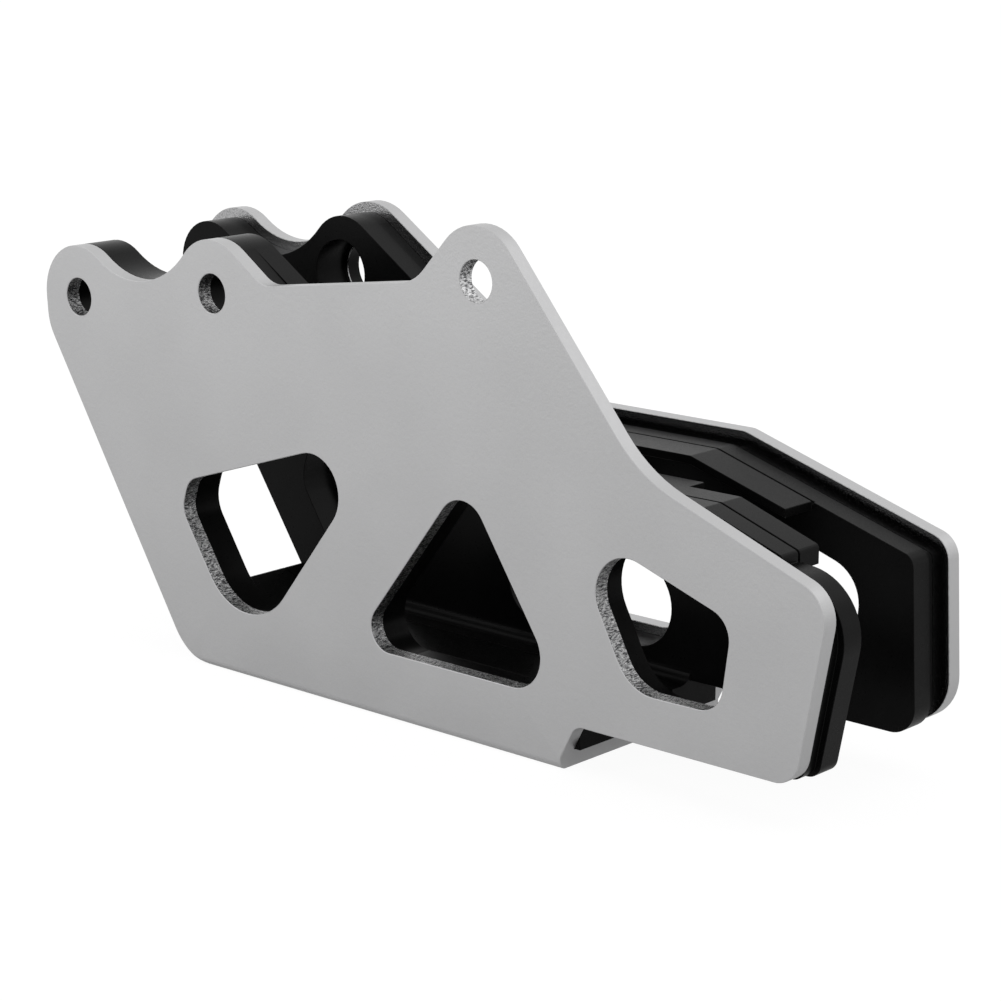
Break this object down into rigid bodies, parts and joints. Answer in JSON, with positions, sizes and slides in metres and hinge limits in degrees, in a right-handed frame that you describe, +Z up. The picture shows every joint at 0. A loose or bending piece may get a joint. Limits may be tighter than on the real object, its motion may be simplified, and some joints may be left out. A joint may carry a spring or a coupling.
{
  "type": "motorcycle chain guide",
  "caption": "Chain guide for a motorcycle: a folded sheet cage with side windows and bolt lugs, lined with moulded guide blocks that hold the chain in a slot.",
  "frame": {"origin": "middle of the base: half way along the whole length, half way across the cage, at the underside of its web", "axes": "+X along the guide towards its open end, +Y across from the plate with three lugs to the plate with two, +Z up"},
  "size_m": [0.1782, 0.0418, 0.0866],
  "materials": {
    "cage_metal": "bead-blasted and clear anodised",
    "block_plastic": "moulded, semi-gloss"
  },
  "bodies": {
    "root": {"cage": "cage_metal", "near_block": "block_plastic", "far_block": "block_plastic"}
  },
  "joints": []
}
